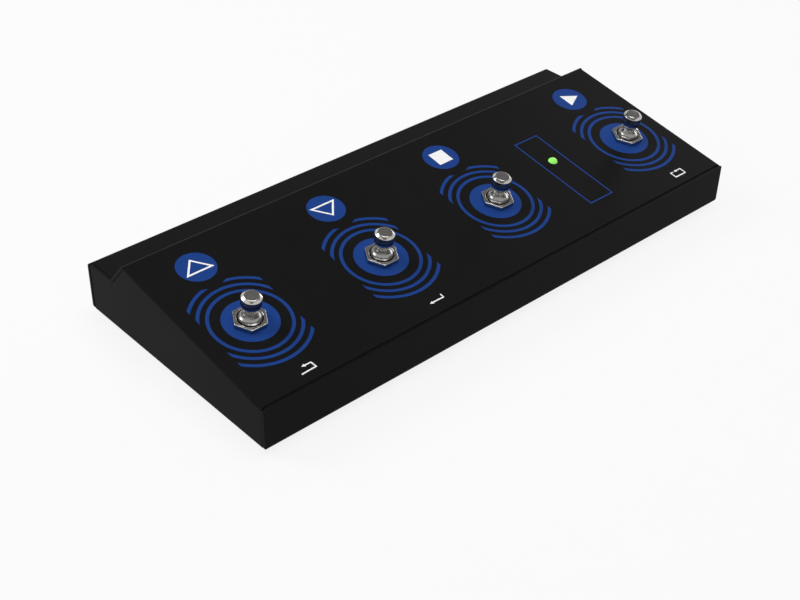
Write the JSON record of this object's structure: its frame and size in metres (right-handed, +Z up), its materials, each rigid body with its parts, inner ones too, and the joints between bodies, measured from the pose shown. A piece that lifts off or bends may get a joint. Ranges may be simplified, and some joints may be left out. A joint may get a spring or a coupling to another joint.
{
  "type": "foot controller",
  "caption": "Wedge-shaped floor controller of black folded steel with a row of sprung metal foot switches, a green indicator light and rear sockets.",
  "frame": {"origin": "on the floor, under the middle of the whole controller", "axes": "+X along the row of foot switches to the right as the player sees it, +Y from the front wall to the rear wall, +Z up"},
  "size_m": [0.3058, 0.136, 0.0477],
  "materials": {
    "powder_black": "powder coat, satin",
    "satin_nickel": "nickel plated, satin",
    "zinc_steel": "zinc plated",
    "foot_rubber": "matt",
    "housing_plastic": "moulded",
    "spring_steel": "drawn wire",
    "contact_metal": "plated",
    "board_green": "solder mask",
    "component_black": "moulded",
    "component_can": "plain",
    "clip_cream": "moulded",
    "ribbon_grey": "flat lead",
    "lens_green": "tinted, lit"
  },
  "bodies": {
    "case": {"base_chassis": "powder_black", "board_capacitors": "component_black", "board_resistors": "component_black", "board_ribbon_socket": "clip_cream", "controller_chip": "component_black", "cover_press_nuts": "zinc_steel", "cover_screws": "zinc_steel", "crystal_can": "component_can", "front_rail": "powder_black", "indicator_legs": "contact_metal", "indicator_lens": "lens_green", "indicator_spacer": "housing_plastic", "jack_body": "housing_plastic", "jack_contacts": "contact_metal", "jack_nose": "satin_nickel", "jack_nut": "satin_nickel", "return_spring_1": "spring_steel", "return_spring_2": "spring_steel", "return_spring_3": "spring_steel", "return_spring_4": "spring_steel", "ribbon_cable": "ribbon_grey", "rubber_feet": "foot_rubber", "socket_board": "board_green", "socket_board_pillars": "zinc_steel", "socket_board_screws": "zinc_steel", "socket_ribbon_socket": "clip_cream", "switch_board": "board_green", "switch_body_1": "housing_plastic", "switch_body_2": "housing_plastic", "switch_body_3": "housing_plastic", "switch_body_4": "housing_plastic", "switch_bushing_1": "satin_nickel", "switch_bushing_2": "satin_nickel", "switch_bushing_3": "satin_nickel", "switch_bushing_4": "satin_nickel", "switch_lock_washers": "zinc_steel", "switch_lower_nuts": "zinc_steel", "switch_lugs_1": "contact_metal", "switch_lugs_2": "contact_metal", "switch_lugs_3": "contact_metal", "switch_lugs_4": "contact_metal", "switch_top_nuts": "satin_nickel", "top_cover": "powder_black", "usb_contacts": "contact_metal", "usb_shell": "zinc_steel", "usb_tongue": "housing_plastic"},
    "plunger_1": {"button_1": "satin_nickel", "contact_bridge_1": "contact_metal"},
    "plunger_2": {"button_2": "satin_nickel", "contact_bridge_2": "contact_metal"},
    "plunger_3": {"button_3": "satin_nickel", "contact_bridge_3": "contact_metal"},
    "plunger_4": {"button_4": "satin_nickel", "contact_bridge_4": "contact_metal"}
  },
  "joints": [
    {"name": "button_1_press", "type": "slide", "parent": "case", "child": "plunger_1", "axis": [0, 0.1736, -0.9848], "range_m": [0, 0.0024], "stiffness_N_per_m": 2500, "springref_m": -0.002, "deforming": ["return_spring_1"]},
    {"name": "button_2_press", "type": "slide", "parent": "case", "child": "plunger_2", "axis": [0, 0.1736, -0.9848], "range_m": [0, 0.0024], "stiffness_N_per_m": 2500, "springref_m": -0.002, "deforming": ["return_spring_2"]},
    {"name": "button_3_press", "type": "slide", "parent": "case", "child": "plunger_3", "axis": [0, 0.1736, -0.9848], "range_m": [0, 0.0024], "stiffness_N_per_m": 2500, "springref_m": -0.002, "deforming": ["return_spring_3"]},
    {"name": "button_4_press", "type": "slide", "parent": "case", "child": "plunger_4", "axis": [0, 0.1736, -0.9848], "range_m": [0, 0.0024], "stiffness_N_per_m": 2500, "springref_m": -0.002, "deforming": ["return_spring_4"]}
  ]
}
